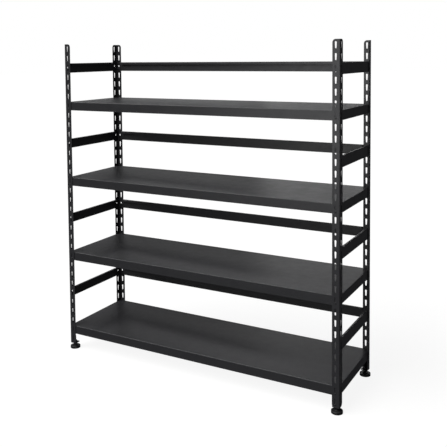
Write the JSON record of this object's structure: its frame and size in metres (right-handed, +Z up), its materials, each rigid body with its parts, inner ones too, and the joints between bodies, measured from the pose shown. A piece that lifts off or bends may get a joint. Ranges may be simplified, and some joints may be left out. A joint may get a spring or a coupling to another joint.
{
  "type": "boltless steel shelving",
  "caption": "Boltless steel shelving: slotted angle posts on levelling feet carry folded shelves and guard rails that hang on rivets in keyhole slots.",
  "frame": {"origin": "on the floor, under the middle of the unit", "axes": "+X along the shelves, -Y is the open front, +Z up"},
  "size_m": [1.517, 0.467, 1.628],
  "materials": {
    "powder_coat": "semi-gloss black powder coat on steel",
    "rivet_black": "black coated steel rivet",
    "black_zinc": "black zinc plated steel",
    "pad_plastic": "moulded black nylon"
  },
  "bodies": {
    "frame": {"post_front_left": "powder_coat", "foot_bracket_front_left": "powder_coat", "foot_nut_front_left": "black_zinc", "post_front_right": "powder_coat", "foot_bracket_front_right": "powder_coat", "foot_nut_front_right": "black_zinc", "post_back_right": "powder_coat", "foot_bracket_back_right": "powder_coat", "foot_nut_back_right": "black_zinc", "post_back_left": "powder_coat", "foot_bracket_back_left": "powder_coat", "foot_nut_back_left": "black_zinc", "rivets_foot_brackets": "rivet_black"},
    "pad_front_left": {"foot_pad_front_left": "pad_plastic"},
    "stud_front_left": {"foot_stud_front_left": "black_zinc"},
    "pad_front_right": {"foot_pad_front_right": "pad_plastic"},
    "stud_front_right": {"foot_stud_front_right": "black_zinc"},
    "pad_back_right": {"foot_pad_back_right": "pad_plastic"},
    "stud_back_right": {"foot_stud_back_right": "black_zinc"},
    "pad_back_left": {"foot_pad_back_left": "pad_plastic"},
    "stud_back_left": {"foot_stud_back_left": "black_zinc"},
    "shelf_bottom": {"shelf_bottom": "powder_coat", "stiffener_bottom": "powder_coat", "rivets_shelf_bottom": "rivet_black"},
    "rail_back_bottom": {"rail_back_bottom": "powder_coat", "rivets_rail_back_bottom": "rivet_black"},
    "rail_left_bottom": {"rail_left_bottom": "powder_coat", "rivets_rail_left_bottom": "rivet_black"},
    "rail_right_bottom": {"rail_right_bottom": "powder_coat", "rivets_rail_right_bottom": "rivet_black"},
    "shelf_lower": {"shelf_lower": "powder_coat", "stiffener_lower": "powder_coat", "rivets_shelf_lower": "rivet_black"},
    "rail_back_lower": {"rail_back_lower": "powder_coat", "rivets_rail_back_lower": "rivet_black"},
    "rail_left_lower": {"rail_left_lower": "powder_coat", "rivets_rail_left_lower": "rivet_black"},
    "rail_right_lower": {"rail_right_lower": "powder_coat", "rivets_rail_right_lower": "rivet_black"},
    "shelf_upper": {"shelf_upper": "powder_coat", "stiffener_upper": "powder_coat", "rivets_shelf_upper": "rivet_black"},
    "rail_back_upper": {"rail_back_upper": "powder_coat", "rivets_rail_back_upper": "rivet_black"},
    "rail_left_upper": {"rail_left_upper": "powder_coat", "rivets_rail_left_upper": "rivet_black"},
    "rail_right_upper": {"rail_right_upper": "powder_coat", "rivets_rail_right_upper": "rivet_black"},
    "shelf_top": {"shelf_top": "powder_coat", "stiffener_top": "powder_coat", "rivets_shelf_top": "rivet_black"},
    "rail_back_top": {"rail_back_top": "powder_coat", "rivets_rail_back_top": "rivet_black"},
    "rail_left_top": {"rail_left_top": "powder_coat", "rivets_rail_left_top": "rivet_black"},
    "rail_right_top": {"rail_right_top": "powder_coat", "rivets_rail_right_top": "rivet_black"}
  },
  "joints": [
    {"name": "foot_height_front_left", "type": "slide", "parent": "frame", "child": "pad_front_left", "axis": [0, 0, 1], "range_m": [-0.02, 0.008]},
    {"name": "foot_screw_front_left", "type": "hinge", "parent": "pad_front_left", "child": "stud_front_left", "pos_m": [-0.7325, -0.2075, 0.02], "axis": [0, 0, 1], "range_deg": [-4810, 1930]},
    {"name": "foot_height_front_right", "type": "slide", "parent": "frame", "child": "pad_front_right", "axis": [0, 0, 1], "range_m": [-0.02, 0.008]},
    {"name": "foot_screw_front_right", "type": "hinge", "parent": "pad_front_right", "child": "stud_front_right", "pos_m": [0.7325, -0.2075, 0.02], "axis": [0, 0, 1], "range_deg": [-4810, 1930]},
    {"name": "foot_height_back_right", "type": "slide", "parent": "frame", "child": "pad_back_right", "axis": [0, 0, 1], "range_m": [-0.02, 0.008]},
    {"name": "foot_screw_back_right", "type": "hinge", "parent": "pad_back_right", "child": "stud_back_right", "pos_m": [0.7325, 0.2075, 0.02], "axis": [0, 0, 1], "range_deg": [-4810, 1930]},
    {"name": "foot_height_back_left", "type": "slide", "parent": "frame", "child": "pad_back_left", "axis": [0, 0, 1], "range_m": [-0.02, 0.008]},
    {"name": "foot_screw_back_left", "type": "hinge", "parent": "pad_back_left", "child": "stud_back_left", "pos_m": [-0.7325, 0.2075, 0.02], "axis": [0, 0, 1], "range_deg": [-4810, 1930]},
    {"name": "lift_shelf_bottom", "type": "slide", "parent": "frame", "child": "shelf_bottom", "axis": [0, 0, 1], "range_m": [0, 0.0225]},
    {"name": "lift_rail_back_bottom", "type": "slide", "parent": "frame", "child": "rail_back_bottom", "axis": [0, 0, 1], "range_m": [0, 0.0225]},
    {"name": "lift_rail_left_bottom", "type": "slide", "parent": "frame", "child": "rail_left_bottom", "axis": [0, 0, 1], "range_m": [0, 0.0225]},
    {"name": "lift_rail_right_bottom", "type": "slide", "parent": "frame", "child": "rail_right_bottom", "axis": [0, 0, 1], "range_m": [0, 0.0225]},
    {"name": "lift_shelf_lower", "type": "slide", "parent": "frame", "child": "shelf_lower", "axis": [0, 0, 1], "range_m": [0, 0.0225]},
    {"name": "lift_rail_back_lower", "type": "slide", "parent": "frame", "child": "rail_back_lower", "axis": [0, 0, 1], "range_m": [0, 0.0225]},
    {"name": "lift_rail_left_lower", "type": "slide", "parent": "frame", "child": "rail_left_lower", "axis": [0, 0, 1], "range_m": [0, 0.0225]},
    {"name": "lift_rail_right_lower", "type": "slide", "parent": "frame", "child": "rail_right_lower", "axis": [0, 0, 1], "range_m": [0, 0.0225]},
    {"name": "lift_shelf_upper", "type": "slide", "parent": "frame", "child": "shelf_upper", "axis": [0, 0, 1], "range_m": [0, 0.0225]},
    {"name": "lift_rail_back_upper", "type": "slide", "parent": "frame", "child": "rail_back_upper", "axis": [0, 0, 1], "range_m": [0, 0.0225]},
    {"name": "lift_rail_left_upper", "type": "slide", "parent": "frame", "child": "rail_left_upper", "axis": [0, 0, 1], "range_m": [0, 0.0225]},
    {"name": "lift_rail_right_upper", "type": "slide", "parent": "frame", "child": "rail_right_upper", "axis": [0, 0, 1], "range_m": [0, 0.0225]},
    {"name": "lift_shelf_top", "type": "slide", "parent": "frame", "child": "shelf_top", "axis": [0, 0, 1], "range_m": [0, 0.0225]},
    {"name": "lift_rail_back_top", "type": "slide", "parent": "frame", "child": "rail_back_top", "axis": [0, 0, 1], "range_m": [0, 0.0225]},
    {"name": "lift_rail_left_top", "type": "slide", "parent": "frame", "child": "rail_left_top", "axis": [0, 0, 1], "range_m": [0, 0.0225]},
    {"name": "lift_rail_right_top", "type": "slide", "parent": "frame", "child": "rail_right_top", "axis": [0, 0, 1], "range_m": [0, 0.0225]}
  ],
  "couplings": [
    {"joint": "foot_screw_front_left", "follows": "foot_height_front_left", "rad_per_m": 4188.8},
    {"joint": "foot_screw_front_right", "follows": "foot_height_front_right", "rad_per_m": 4188.8},
    {"joint": "foot_screw_back_right", "follows": "foot_height_back_right", "rad_per_m": 4188.8},
    {"joint": "foot_screw_back_left", "follows": "foot_height_back_left", "rad_per_m": 4188.8}
  ]
}
